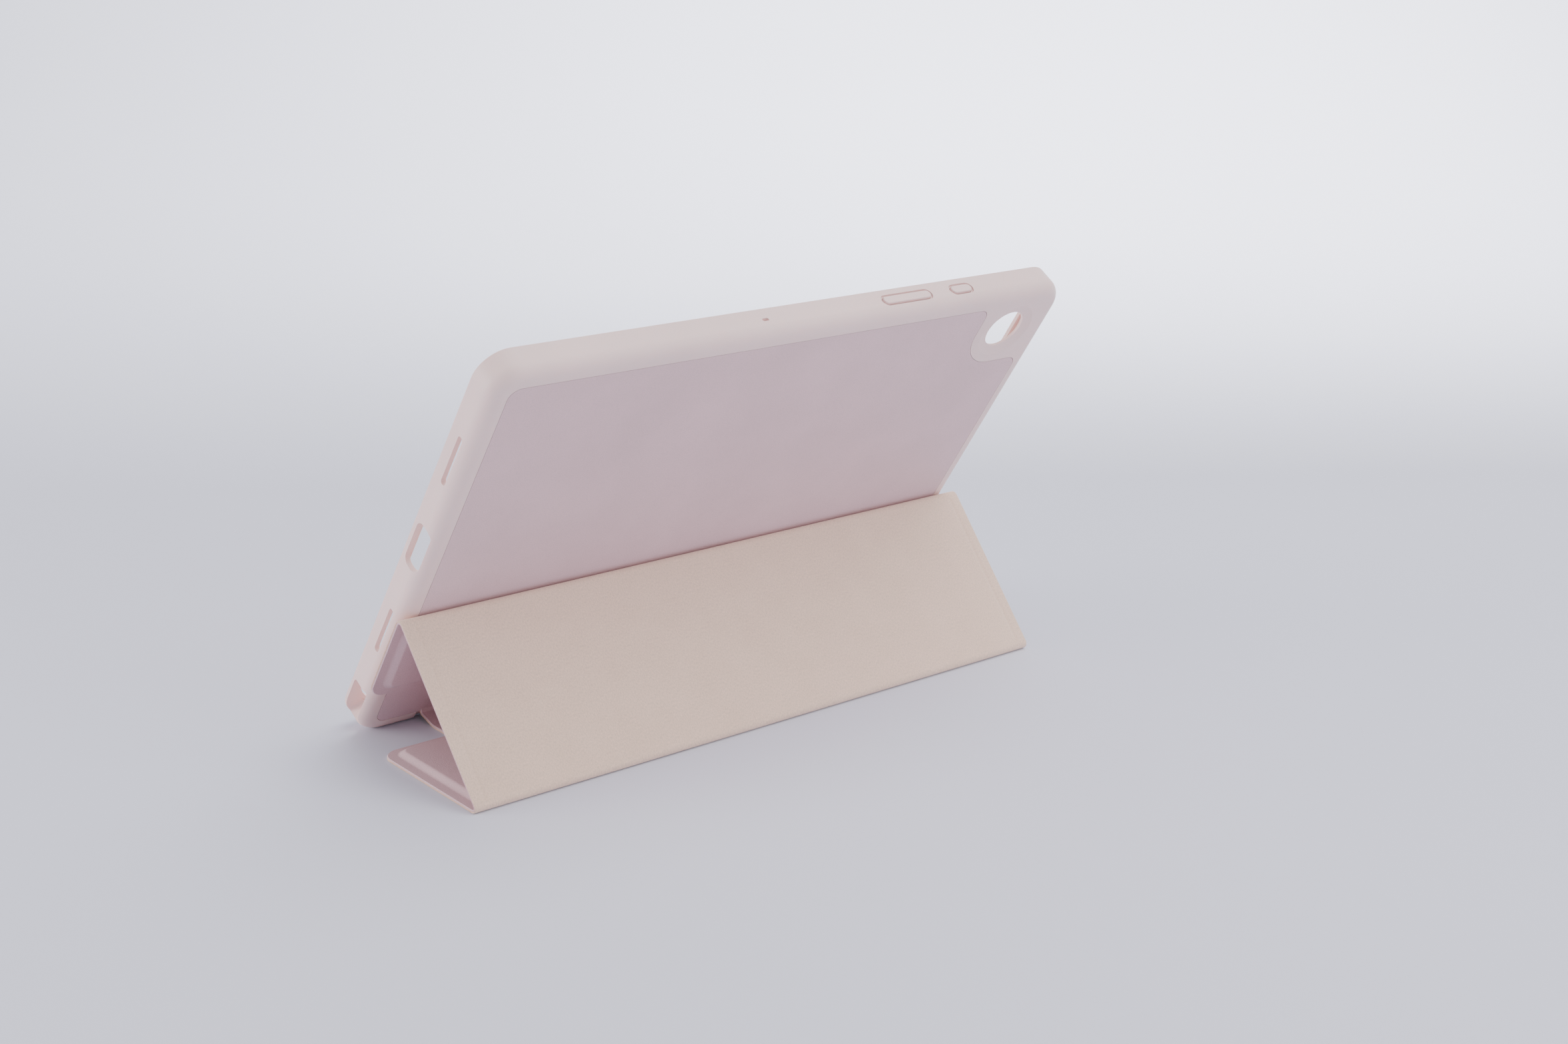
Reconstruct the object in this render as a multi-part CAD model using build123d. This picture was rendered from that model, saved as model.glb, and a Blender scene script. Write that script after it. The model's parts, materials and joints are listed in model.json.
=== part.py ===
from build123d import *
from math import asin, atan2, cos, degrees, hypot, radians, sin, sqrt
import os

# A folding tablet case set up as a stand. All sizes are in millimetres.
# X runs along the tray's long side, with the charging port at +X. Y points from the screen side
# to the rear leg, and Z up. The origin is on the floor, under the middle of the whole case.
# Side positions are (y, z) pairs. "Up the tray" is measured from its lower edge along its back,
# "off the back" is measured square to its back, outwards, and "behind the tray" is measured
# along the floor from the line where its back would meet it.

# Tray: one soft moulding, open at the screen
TRAY_LENGTH = 255.0
TRAY_HEIGHT = 178.5
TRAY_DEPTH = 11.8
TRAY_LEAN = 58.2  # degrees from the floor
TRAY_CORNER = 11.0
BACK_EDGE_ROUND = 5.0
WALL = 1.9
LIP_REACH = 1.5
LIP_THICKNESS = 1.3
CAVITY_CORNER = 19.0
CAVITY_EDGE_ROUND = 3.5
BACK_SKIN = 2.0  # back wall, from the tray's back to the lining's glue face
LINING = 0.5
SOFT_EDGE = 0.4  # small rounding on moulded edges

# Leather inlay on the back, with a corner left bare for the camera
INLAY_INSET = 6.7
INLAY_DEPTH = 0.8
INLAY_CORNER = 4.5
CAMERA_X = -105.0
CAMERA_BELOW_TOP = 19.9
CAMERA_RADIUS = 8.4
CAMERA_DISH_RADIUS = 12.2
CAMERA_DISH_DEPTH = 1.1
CAMERA_HOLE_EDGE = 0.3  # dish to hole, at the dish's floor
LINING_HOLE_MARGIN = 0.8  # microfibre kept back from the camera hole
NOTCH_ROUND = 15.8
BOARD_MARGIN = 9.0  # stiffener outline inside the inlay's outline
SEAM = 0.15  # gap round the inlay

# Openings in the walls: centre, length, height across the wall
PORT_CENTRE = 94.8
PORT_LENGTH = 19.4
PORT_SPAN = (2.1, 9.8)  # depth in from the back
PORT_ROUND = 2.9
SPEAKER_CENTRES = (52.8, 135.9)
SPEAKER_LENGTH = 21.4
SPEAKER_WIDTH = 2.5
SPEAKER_DEPTH = 5.9  # in from the back
SPEAKER_ROUND = 1.2
JACK_WIDTH = 15.6
JACK_SPAN = (2.6, 10.3)
JACK_REACH = 24.0
JACK_ROUND = 1.2
MIC_X = 16.9
MIC_LENGTH = 2.8
MIC_WIDTH = 1.3

# Key covers in the top wall
KEY_DEPTH = 6.5  # in from the back
KEY_GROOVE_WIDTH = 5.2
KEY_GROOVE_DEPTH = 0.7
KEY_WIDTH = 3.4
KEY_RISE = 0.35  # above the wall
KEY_GAP = 0.25
KEYS = {"volume_key_cover": (-48.5, 24.2), "power_key_cover": (-75.3, 11.4)}  # centre, groove length

# Cover: leather outside, microfibre inside, stiff boards between them
COVER_LENGTH = 260.0
LEATHER = 0.7
BOARD = 1.5
FLANGE = 4.8  # cover beyond the boards at its free edges
BOARD_CORNER = 3.5
COVER_CORNER = 6.5
FOLD_FLANGE = 6.0  # from a fold's pivot to the board
FOLD_RISE = 0.5  # a fold's pivot above the middle of the sheet
FOLD_TRIM = 1.7  # from a fold's pivot to the end of the panel's own sheet
SPINE_LENGTH = 204.0
SPINE_TRIM = 0.7
SHEET = LEATHER + LINING

# Where the cover's pivots stand
SPINE_TOP = (6.2, 0.7)  # up the tray, off the back
SPINE_UPPER_LENGTH = 8.3
SPINE_LOWER_LENGTH = 10.0
REAR_FOLD_BEHIND = 82.2
RIDGE_UP_TRAY = 66.8
FREE_EDGE_UP_TRAY = 26.1
RIDGE_CLEARANCE = 0.5
FREE_EDGE_CLEARANCE = 0.9
BASE_BOARD_BEHIND = 26.4
CLOSED_CLEARANCE = 0.5  # cover to tray when it is shut over the screen
RELIEF_CLEARANCE = 0.3  # rim to spine when it is shut
RELIEF_DEPTH = 6.0
RELIEF_MARGIN = 1.5  # rim relief beyond each end of the spine

MAGNET = (12.0, 4.0, 1.3)
MAGNET_GAP = 0.1
MAGNET_PLACES = (-92.0, -46.0, 46.0, 92.0)
MAGNET_EDGE_DISTANCE = 9.0  # from the free edge to the magnets' middle

LEAN_SIN = sin(radians(TRAY_LEAN))
LEAN_COS = cos(radians(TRAY_LEAN))
EDGE_LOSS = LEAN_SIN + LEAN_COS - 1  # what a rounding of 1 mm takes off a leaning square edge
TRAY_LIFT = -BACK_EDGE_ROUND * EDGE_LOSS  # the rounded edge just meets the floor
TRAY_Y = (
    TRAY_DEPTH * LEAN_SIN - TRAY_HEIGHT * LEAN_COS + (BACK_EDGE_ROUND - SOFT_EDGE) * EDGE_LOSS
) / 2
TRAY_PLACE = Plane(
    origin=(0, TRAY_Y, TRAY_LIFT), x_dir=(1, 0, 0), z_dir=(0, -LEAN_SIN, LEAN_COS)
).location


def tray_point(up, off):
    """Side position of a point given up the tray and off its back."""
    return (TRAY_Y + up * LEAN_COS + off * LEAN_SIN, TRAY_LIFT + up * LEAN_SIN - off * LEAN_COS)


def bearing(start, end):
    """Angle in degrees, from +Y towards +Z, of the line from start to end."""
    return degrees(atan2(end[1] - start[1], end[0] - start[0]))


def distance(start, end):
    """Length of the line between two side positions."""
    return hypot(end[0] - start[0], end[1] - start[1])


def side_place(point, angle):
    """Place of a part drawn with X across, Y along its sheet and Z towards the leather side."""
    return Location((0, point[0], point[1]), (angle, 0, 0))


def spine_pivots():
    """The three pivots of the spine: at the tray, on the way down and at the base panel."""
    top = tray_point(*SPINE_TOP)
    height = SHEET / 2
    run = sqrt(SPINE_UPPER_LENGTH**2 - (top[1] - height) ** 2)
    middle = (top[0] + run, height)
    bottom = (middle[0] + SPINE_LOWER_LENGTH, height)
    return top, middle, bottom


def fold_outside():
    """Distance from a fold's pivot to the microfibre face."""
    return SHEET / 2 + FOLD_RISE


SPINE_A, SPINE_B, SPINE_C = spine_pivots()
REAR_PIVOT = (TRAY_Y + REAR_FOLD_BEHIND, fold_outside())
RIDGE_PIVOT = tray_point(RIDGE_UP_TRAY, RIDGE_CLEARANCE + fold_outside())
PROP_ANGLE = bearing(REAR_PIVOT, RIDGE_PIVOT)
PROP_LENGTH = distance(REAR_PIVOT, RIDGE_PIVOT)
REST_LENGTH = RIDGE_UP_TRAY - FREE_EDGE_UP_TRAY
REST_ANGLE = 180 + TRAY_LEAN + degrees(asin((FREE_EDGE_CLEARANCE - RIDGE_CLEARANCE) / REST_LENGTH))


def shut_corner():
    """Where the spine's middle pivot lies when the cover is shut: up the tray, off the back."""
    off = SPINE_LOWER_LENGTH - (TRAY_DEPTH + CLOSED_CLEARANCE + SHEET / 2)
    up = SPINE_TOP[0] - sqrt(SPINE_UPPER_LENGTH**2 - (SPINE_TOP[1] - off) ** 2)
    return up, off


def closed_turns():
    """How far each pivot turns, in degrees, from the stand to the cover shut over the screen."""
    upper_shut = bearing(SPINE_A, tray_point(*shut_corner()))
    lower_shut = TRAY_LEAN + 90 - 360
    base_shut = TRAY_LEAN - 360
    upper_rest = bearing(SPINE_A, SPINE_B)
    return {
        "spine_top_fold": upper_shut - upper_rest,
        "spine_middle_fold": (lower_shut - upper_shut) + upper_rest,
        "spine_bottom_fold": base_shut - lower_shut,
        "rear_fold": -PROP_ANGLE,
        "ridge_fold": PROP_ANGLE - REST_ANGLE,
    }


def rounded_block(length, width, low, high, corner, middle=(0.0, 0.0)):
    """A block standing on Z, with its upright corners rounded."""
    outline = Pos(middle[0], middle[1]) * RectangleRounded(length, width, corner)
    return Pos(0, 0, low) * extrude(outline, high - low)


def inlay_outline(shrink=0.0):
    """Outline of the leather inlay, drawn from inside the case, shrunk evenly by shrink."""
    length = TRAY_LENGTH - 2 * INLAY_INSET - 2 * shrink
    width = TRAY_HEIGHT - 2 * INLAY_INSET - 2 * shrink
    camera_y = TRAY_HEIGHT - CAMERA_BELOW_TOP
    reach = NOTCH_ROUND + shrink
    body = Pos(0, TRAY_HEIGHT / 2) * Rectangle(length, width)
    notch_right = CAMERA_X + reach
    notch_low = camera_y - reach
    notch = Pos(notch_right - TRAY_LENGTH / 2, notch_low + TRAY_LENGTH / 2) * Rectangle(
        TRAY_LENGTH, TRAY_LENGTH
    )
    sketch = body - notch
    inner = sketch.vertices().sort_by_distance((notch_right, notch_low))[0]
    outline = fillet(inner, reach)
    others = [v for v in outline.vertices() if not near_arc_end(v, notch_right, notch_low, reach)]
    return fillet(others, INLAY_CORNER if shrink < INLAY_CORNER else INLAY_CORNER / 2)


def near_arc_end(vertex, right, low, reach):
    """Whether a vertex is one of the two ends of the arc round the camera."""
    ends = ((right - reach, low), (right, low + reach))
    return any(abs(vertex.X - x) < 0.1 and abs(vertex.Y - y) < 0.1 for x, y in ends)


def wall_slot(length, low, high, corner, middle):
    """A cutter through the +X wall: length up the tray, between two depths."""
    profile = RectangleRounded(length, high - low, corner)
    place = Plane(origin=(TRAY_LENGTH / 2, middle, (low + high) / 2), x_dir=(0, 1, 0), z_dir=(1, 0, 0))
    return extrude(place * profile, 2 * WALL, both=True)


def top_slot(length, width, low, high, middle):
    """A cutter in the top wall between two heights up the tray, with round ends."""
    place = Plane(origin=(middle, low, KEY_DEPTH), x_dir=(1, 0, 0), z_dir=(0, 1, 0))
    return extrude(place * SlotOverall(length, width), high - low)


def jack_cut():
    """A cutter across the lower +X corner, square to its diagonal and beside it."""
    place = Plane(
        origin=(TRAY_LENGTH / 2, 0, (JACK_SPAN[0] + JACK_SPAN[1]) / 2),
        x_dir=(1, 1, 0),
        z_dir=(1, -1, 0),
    )
    profile = Pos(JACK_WIDTH / 2, 0) * RectangleRounded(
        JACK_WIDTH, JACK_SPAN[1] - JACK_SPAN[0], JACK_ROUND
    )
    return extrude(place * profile, JACK_REACH, both=True)


def rim_relief():
    """A cutter that lets the spine fold round the lower back edge: flat, along the shut spine."""
    up, off = shut_corner()
    tilt = degrees(atan2(SPINE_TOP[1] - off, SPINE_TOP[0] - up))
    face = SHEET / 2 + RELIEF_CLEARANCE
    length = SPINE_LENGTH + 2 * RELIEF_MARGIN
    cutter = Pos(0, 0, face - RELIEF_DEPTH / 2) * Box(length, 4 * SPINE_UPPER_LENGTH, RELIEF_DEPTH)
    return Location((0, SPINE_TOP[0], -SPINE_TOP[1]), (-tilt, 0, 0)) * cutter


def tray_frame():
    """The soft tray: walls, back skin, screen lip and every opening."""
    middle = (0.0, TRAY_HEIGHT / 2)
    camera_y = TRAY_HEIGHT - CAMERA_BELOW_TOP
    frame = rounded_block(TRAY_LENGTH, TRAY_HEIGHT, 0, TRAY_DEPTH, TRAY_CORNER, middle)
    frame = fillet(frame.faces().sort_by(Axis.Z)[0].edges(), BACK_EDGE_ROUND)
    frame = fillet(frame.faces().sort_by(Axis.Z)[-1].edges(), SOFT_EDGE)
    lip_inset = WALL + LIP_REACH
    cavity = rounded_block(
        TRAY_LENGTH - 2 * WALL,
        TRAY_HEIGHT - 2 * WALL,
        BACK_SKIN,
        TRAY_DEPTH - LIP_THICKNESS,
        CAVITY_CORNER,
        middle,
    )
    cavity = fillet(cavity.faces().sort_by(Axis.Z)[0].edges(), CAVITY_EDGE_ROUND)
    window = rounded_block(
        TRAY_LENGTH - 2 * lip_inset,
        TRAY_HEIGHT - 2 * lip_inset,
        TRAY_DEPTH - LIP_THICKNESS,
        TRAY_DEPTH,
        CAVITY_CORNER - LIP_REACH,
        middle,
    )
    frame = frame - cavity - window
    frame -= extrude(inlay_outline(), INLAY_DEPTH)
    frame -= extrude(inlay_outline(BOARD_MARGIN), BACK_SKIN)
    hole = Pos(CAMERA_X, camera_y, BACK_SKIN / 2) * Cylinder(CAMERA_RADIUS, BACK_SKIN)
    dish = Pos(CAMERA_X, camera_y, CAMERA_DISH_DEPTH / 2) * Cone(
        CAMERA_DISH_RADIUS, CAMERA_RADIUS + CAMERA_HOLE_EDGE, CAMERA_DISH_DEPTH
    )
    frame = frame - hole - dish
    frame -= wall_slot(PORT_LENGTH, *PORT_SPAN, PORT_ROUND, PORT_CENTRE)
    for centre in SPEAKER_CENTRES:
        low = SPEAKER_DEPTH - SPEAKER_WIDTH / 2
        high = SPEAKER_DEPTH + SPEAKER_WIDTH / 2
        frame -= wall_slot(SPEAKER_LENGTH, low, high, SPEAKER_ROUND, centre)
    frame -= jack_cut()
    frame -= rim_relief()
    for centre, length in KEYS.values():
        floor = TRAY_HEIGHT - KEY_GROOVE_DEPTH
        window_length = length - KEY_GROOVE_WIDTH + KEY_WIDTH + 2 * KEY_GAP
        frame -= top_slot(length, KEY_GROOVE_WIDTH, floor, TRAY_HEIGHT + 1, centre)
        frame -= top_slot(window_length, KEY_WIDTH + 2 * KEY_GAP, floor - 2 * WALL, floor + 1, centre)
    frame -= top_slot(MIC_LENGTH, MIC_WIDTH, TRAY_HEIGHT - 2 * WALL, TRAY_HEIGHT + 1, MIC_X)
    return frame


def back_board():
    """The stiff sheet in the tray's back window, under the leather."""
    return Pos(0, 0, INLAY_DEPTH) * extrude(inlay_outline(BOARD_MARGIN + SEAM), BACK_SKIN - INLAY_DEPTH)


def back_leather_inlay():
    """The leather laid flush into the tray's back."""
    return extrude(inlay_outline(SEAM), INLAY_DEPTH)


def tray_lining():
    """The microfibre that the tablet's back rests on."""
    inset = WALL + CAVITY_EDGE_ROUND + SEAM
    sheet = rounded_block(
        TRAY_LENGTH - 2 * inset,
        TRAY_HEIGHT - 2 * inset,
        BACK_SKIN,
        BACK_SKIN + LINING,
        CAVITY_CORNER - CAVITY_EDGE_ROUND,
        (0.0, TRAY_HEIGHT / 2),
    )
    camera_y = TRAY_HEIGHT - CAMERA_BELOW_TOP
    return sheet - Pos(CAMERA_X, camera_y, BACK_SKIN) * Cylinder(
        CAMERA_RADIUS + LINING_HOLE_MARGIN, 4 * LINING
    )


def key_cover(centre, groove_length):
    """A raised pill that reaches through the top wall to the tablet's key."""
    length = groove_length - KEY_GROOVE_WIDTH + KEY_WIDTH
    low = TRAY_HEIGHT - WALL
    pill = top_slot(length, KEY_WIDTH, low, TRAY_HEIGHT + KEY_RISE, centre)
    return fillet(pill.faces().sort_by(Axis.Y)[-1].edges(), SOFT_EDGE)


def spine_sheet(length, low, high):
    """One layer of one spine segment, from its own pivot along Y."""
    run = length - 2 * SPINE_TRIM
    return Pos(0, SPINE_TRIM + run / 2, (low + high) / 2) * Box(SPINE_LENGTH, run, high - low)


def panel_block(length, start, end, low, high, start_corner, end_corner):
    """A flat block from start to end along Y, with its corners rounded at each end."""
    block = Pos(0, (start + end) / 2, (low + high) / 2) * Box(length, end - start, high - low)
    upright = block.edges().filter_by(Axis.Z).sort_by(Axis.Y)
    if start_corner:
        block = fillet(upright[:2], start_corner)
        upright = block.edges().filter_by(Axis.Z).sort_by(Axis.Y)
    if end_corner:
        block = fillet(upright[-2:], end_corner)
    return block


def cover_panel(start, end, board_start, board_end, base, corners):
    """Lining, board and leather of one panel, with the microfibre face at base."""
    glue = base + LINING
    top = glue + BOARD
    board_length = COVER_LENGTH - 2 * FLANGE - 2 * LEATHER
    lining = panel_block(COVER_LENGTH, start, end, base, glue, *corners)
    board = panel_block(board_length, board_start, board_end, glue, top, BOARD_CORNER, BOARD_CORNER)
    flange = panel_block(COVER_LENGTH, start, end, glue, glue + LEATHER, *corners)
    plateau = panel_block(
        board_length + 2 * LEATHER,
        board_start - LEATHER,
        board_end + LEATHER,
        glue,
        top + LEATHER,
        BOARD_CORNER + LEATHER,
        BOARD_CORNER + LEATHER,
    )
    leather = flange + plateau - board
    return lining, board, leather


def fold_strip(angle):
    """Leather and lining bent round a fold's pivot, drawn in the frame of the panel before it."""
    outside = fold_outside()
    tab = Pos(0, -FOLD_TRIM / 2, SHEET / 2 - outside) * Box(COVER_LENGTH, FOLD_TRIM, SHEET)
    bend = Rot(0, 90, 0) * Cylinder(outside, COVER_LENGTH)
    far_tab = Rot(angle, 0, 0) * Pos(0, FOLD_TRIM / 2, SHEET / 2 - outside) * Box(
        COVER_LENGTH, FOLD_TRIM, SHEET
    )
    return tab + bend + far_tab


def magnet_row(gap):
    """The sleep magnets near the cover's free edge, grown evenly by gap."""
    along = REST_LENGTH - MAGNET_EDGE_DISTANCE
    middle = LINING - fold_outside() + MAGNET[2] / 2
    size = [side + 2 * gap for side in MAGNET[:2]]
    return [Pos(x, along, middle) * Box(size[0], size[1], MAGNET[2]) for x in MAGNET_PLACES]


def build_nodes():
    """Every sub-part in its place, by node name."""
    outside = fold_outside()
    nodes = {
        "tray_frame": TRAY_PLACE * tray_frame(),
        "back_board": TRAY_PLACE * back_board(),
        "back_leather_inlay": TRAY_PLACE * back_leather_inlay(),
        "tray_lining": TRAY_PLACE * tray_lining(),
    }
    for name, (centre, length) in KEYS.items():
        nodes[name] = TRAY_PLACE * key_cover(centre, length)

    segments = {
        "spine_upper": (SPINE_A, SPINE_B, SPINE_UPPER_LENGTH),
        "spine_lower": (SPINE_B, SPINE_C, SPINE_LOWER_LENGTH),
    }
    for name, (start, end, length) in segments.items():
        place = side_place(start, bearing(start, end))
        nodes[name + "_lining"] = place * spine_sheet(length, -SHEET / 2, LINING - SHEET / 2)
        nodes[name + "_leather"] = place * spine_sheet(length, LINING - SHEET / 2, SHEET / 2)

    panels = {
        "base_panel": (
            Location(),
            (SPINE_C[0] + SPINE_TRIM, REAR_PIVOT[0] - FOLD_TRIM),
            (TRAY_Y + BASE_BOARD_BEHIND, REAR_PIVOT[0] - FOLD_FLANGE),
            0.0,
            (COVER_CORNER, 0),
        ),
        "prop_panel": (
            side_place(REAR_PIVOT, PROP_ANGLE),
            (FOLD_TRIM, PROP_LENGTH - FOLD_TRIM),
            (FOLD_FLANGE, PROP_LENGTH - FOLD_FLANGE),
            -outside,
            (0, 0),
        ),
        "rest_panel": (
            side_place(RIDGE_PIVOT, REST_ANGLE),
            (FOLD_TRIM, REST_LENGTH),
            (FOLD_FLANGE, REST_LENGTH - FLANGE),
            -outside,
            (0, COVER_CORNER),
        ),
    }
    for name, (place, sheet_span, board_span, base, corners) in panels.items():
        lining, board, leather = cover_panel(*sheet_span, *board_span, base, corners)
        if name == "rest_panel":
            for pocket in magnet_row(MAGNET_GAP):
                board -= pocket
            nodes["cover_magnets"] = place * Compound(children=magnet_row(0.0))
        nodes[name + "_lining"] = place * lining
        nodes[name + "_board"] = place * board
        nodes[name + "_leather"] = place * leather

    nodes["rear_fold"] = side_place(REAR_PIVOT, 0) * fold_strip(PROP_ANGLE)
    nodes["ridge_fold"] = side_place(RIDGE_PIVOT, PROP_ANGLE) * fold_strip(REST_ANGLE - PROP_ANGLE)
    return nodes


os.makedirs("parts", exist_ok=True)
for node_name, shape in build_nodes().items():
    export_step(shape, f"parts/{node_name}.step")

for pivot_name, pivot in (
    ("spine top", SPINE_A),
    ("spine middle", SPINE_B),
    ("spine bottom", SPINE_C),
    ("rear fold", REAR_PIVOT),
    ("ridge fold", RIDGE_PIVOT),
):
    print(f"{pivot_name} pivot y {pivot[0]:.3f} z {pivot[1]:.3f}")
for joint_name, turn in closed_turns().items():
    print(f"{joint_name} turns {turn:.3f} degrees to shut")
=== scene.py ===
import json
import math

import bpy
import numpy as np
from mathutils import Matrix, Vector


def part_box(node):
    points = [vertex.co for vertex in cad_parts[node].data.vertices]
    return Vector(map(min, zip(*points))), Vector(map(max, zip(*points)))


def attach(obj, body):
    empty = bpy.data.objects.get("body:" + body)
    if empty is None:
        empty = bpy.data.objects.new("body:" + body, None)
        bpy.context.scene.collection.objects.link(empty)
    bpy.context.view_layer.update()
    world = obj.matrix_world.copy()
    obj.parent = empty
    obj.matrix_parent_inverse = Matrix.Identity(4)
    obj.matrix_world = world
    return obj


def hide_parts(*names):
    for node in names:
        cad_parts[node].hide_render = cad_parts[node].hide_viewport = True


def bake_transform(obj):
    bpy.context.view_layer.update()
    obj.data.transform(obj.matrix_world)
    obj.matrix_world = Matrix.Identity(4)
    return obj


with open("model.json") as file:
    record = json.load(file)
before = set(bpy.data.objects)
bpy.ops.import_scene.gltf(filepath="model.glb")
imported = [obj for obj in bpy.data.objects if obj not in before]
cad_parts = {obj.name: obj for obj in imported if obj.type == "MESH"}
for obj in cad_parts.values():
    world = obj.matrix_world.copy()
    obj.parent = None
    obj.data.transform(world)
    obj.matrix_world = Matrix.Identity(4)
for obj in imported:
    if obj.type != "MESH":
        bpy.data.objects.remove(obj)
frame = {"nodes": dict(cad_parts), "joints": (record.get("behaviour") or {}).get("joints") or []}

bl_info = {
    "name": "Tablet Case Maker",
    "version": (1, 0, 0),
    "blender": (4, 5, 0),
    "location": "3D View > Sidebar > Tablet Case",
    "description": "Makes the cover, finishes and studio of a tablet case that stands on its cover",
    "category": "Add Mesh",
}

# Everything is in metres. X runs along the tray, Y from the screen side to the rear leg, Z is up.
# A panel's own frame has X across, Y along its sheet away from its pivot, and Z towards the
# leather. A side position is a (y, z) pair.
MM = 0.001
LEAN = math.radians(58.2)
UP_TRAY = np.array([math.cos(LEAN), math.sin(LEAN)])
OFF_BACK = np.array([math.sin(LEAN), -math.cos(LEAN)])
PIVOTS = {j["name"]: np.array(j["pos_m"][1:]) for j in frame["joints"] if "pos_m" in j}
SPINE_TOP = PIVOTS["spine_top_fold"]
SPINE_MIDDLE = PIVOTS["spine_middle_fold"]
SPINE_BOTTOM = PIVOTS["spine_bottom_fold"]
REAR = PIVOTS["rear_fold"]
RIDGE = PIVOTS["ridge_fold"]
SPINE_TOP_UP = 6.2 * MM  # the spine's top pivot, up the tray from the foot line of its back
SPINE_TOP_OFF = 0.7 * MM  # and off the tray's back
TRAY_FOOT = SPINE_TOP - SPINE_TOP_UP * UP_TRAY - SPINE_TOP_OFF * OFF_BACK
COVER_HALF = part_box("base_panel_lining")[1].x
SPINE_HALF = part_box("spine_lower_lining")[1].x
REST_LENGTH = 40.7 * MM
PROP_LENGTH = float(np.hypot(*(RIDGE - REAR)))
PROP_ANGLE = math.atan2(RIDGE[1] - REAR[1], RIDGE[0] - REAR[0])
REST_ANGLE = math.radians(238.763)
FOLD_TRIM = 3.4 * MM  # from a fold's pivot to the end of the panel's own sheet
FOLD_FLANGE = 6.0 * MM  # from a fold's pivot to the board
PIVOT_ABOVE = 1.1 * MM  # a fold's pivot above the microfibre face
PANEL_FINE = 8.4 * MM  # width of a panel's finely meshed border
FOLD_SAMPLES = 33
SPINE_SAMPLES = 181
HINGE_REACH = 14  # samples of the spine's path on each side of a pivot, handed to blend_along
TOP_CUT_PAST = 0.4 * MM  # from midway between the upper two pivots to the first cut
SHORTEST_SHEET = 10 * MM  # a strip no shorter than this is declared on its own


def linear(code):
    """Linear red, green and blue of an sRGB hex colour such as #C0B0B5: each channel divided
    by 12.92 up to 0.04045, and above that ((c + 0.055) / 1.055) to the power 2.4."""
    parts = [int(code[i : i + 2], 16) / 255 for i in (1, 3, 5)]
    return tuple(c / 12.92 if c <= 0.04045 else ((c + 0.055) / 1.055) ** 2.4 for c in parts)


def length_property(name, description, millimetres):
    """A length setting, given in millimetres and held in metres."""
    return bpy.props.FloatProperty(
        name=name, description=description, default=millimetres * MM, unit="LENGTH"
    )


def colour_property(name, description, code):
    """A colour setting, given as an sRGB hex code and held linear."""
    return bpy.props.FloatVectorProperty(
        name=name, description=description, subtype="COLOR", size=3, default=linear(code)
    )


class CoverSizes(bpy.types.PropertyGroup):
    """Sizes of the folding cover that a user may change."""

    leather: length_property("Leather", "Thickness of the outer leather", 0.7)
    lining: length_property("Lining", "Thickness of the microfibre", 0.5)
    board: length_property("Board", "Thickness of the stiff boards", 1.5)
    flange: length_property("Flange", "Cover beyond its boards at a free edge", 4.8)
    cover_corner: length_property("Cover corner", "Radius of the cover's free corners", 6.5)
    board_corner: length_property("Board corner", "Radius of the boards' corners", 3.5)
    bevel_out: length_property("Slope outside", "Reach of the leather's slope beyond the pad", 1.3)
    bevel_in: length_property("Slope inside", "Reach of the leather's slope onto the pad", 1.7)
    press_depth: length_property("Press line", "Depth of the board's outline in the microfibre", 0.22)
    edge_round: length_property("Edge round", "Rounding of the sheets' cut edges", 0.25)
    fine_step: length_property("Fine step", "Mesh spacing at edges and slopes", 0.3)
    coarse_step: length_property("Coarse step", "Mesh spacing on flat stretches", 4.0)


class CaseColours(bpy.types.PropertyGroup):
    """Colours of the case and its studio, linear, from sRGB hex values."""

    shell: colour_property("Soft shell", "Moulded tray", "#EED2CF")
    leather: colour_property("Leather", "Outer face of the cover and the tray's back", "#DBBABF")
    microfibre: colour_property("Microfibre", "Inner face of the cover", "#F0D0BB")
    board: colour_property("Board", "Stiff sheets inside the cover", "#8F8C88")
    magnet: colour_property("Magnet", "Nickel plating of the magnets", "#B9B8B4")
    floor: colour_property("Floor", "Seamless paper under and behind the case", "#D9DBE9")


def sizes():
    """The cover's sizes, as the sidebar holds them."""
    return bpy.context.scene.tablet_case_sizes


def colours():
    """The case's colours, as the sidebar holds them."""
    return bpy.context.scene.tablet_case_colours


# ---------------------------------------------------------------- surfaces


def smooth(value):
    """Smoothstep of value: 3v squared minus 2v cubed, with v held between 0 and 1."""
    v = np.clip(value, 0.0, 1.0)
    return v * v * (3.0 - 2.0 * v)


def stations(low, high, fine_low, fine_high):
    """Positions from low to high: a fine step for the first fine_low and the last fine_high,
    and steps no longer than the coarse one between, each stretch divided evenly."""
    s = sizes()

    def even(a, b, step):
        count = max(1, int(math.ceil((b - a) / step)))
        return np.linspace(a, b, count + 1)

    parts = [
        even(low, low + fine_low, s.fine_step),
        even(low + fine_low, high - fine_high, s.coarse_step)[1:],
        even(high - fine_high, high, s.fine_step)[1:],
    ]
    return np.concatenate(parts)


def inside(x, y, half_x, low, high, corner):
    """Distance inside a rounded rectangle: minus the rounded box's signed distance, which is
    the length of the positive part of |p| - half + corner, plus its negative part, minus corner."""
    qx = np.abs(x) - half_x + corner
    qy = np.abs(y - (low + high) / 2) - (high - low) / 2 + corner
    outside = np.hypot(np.maximum(qx, 0), np.maximum(qy, 0))
    return corner - outside - np.minimum(np.maximum(qx, qy), 0)


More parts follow.
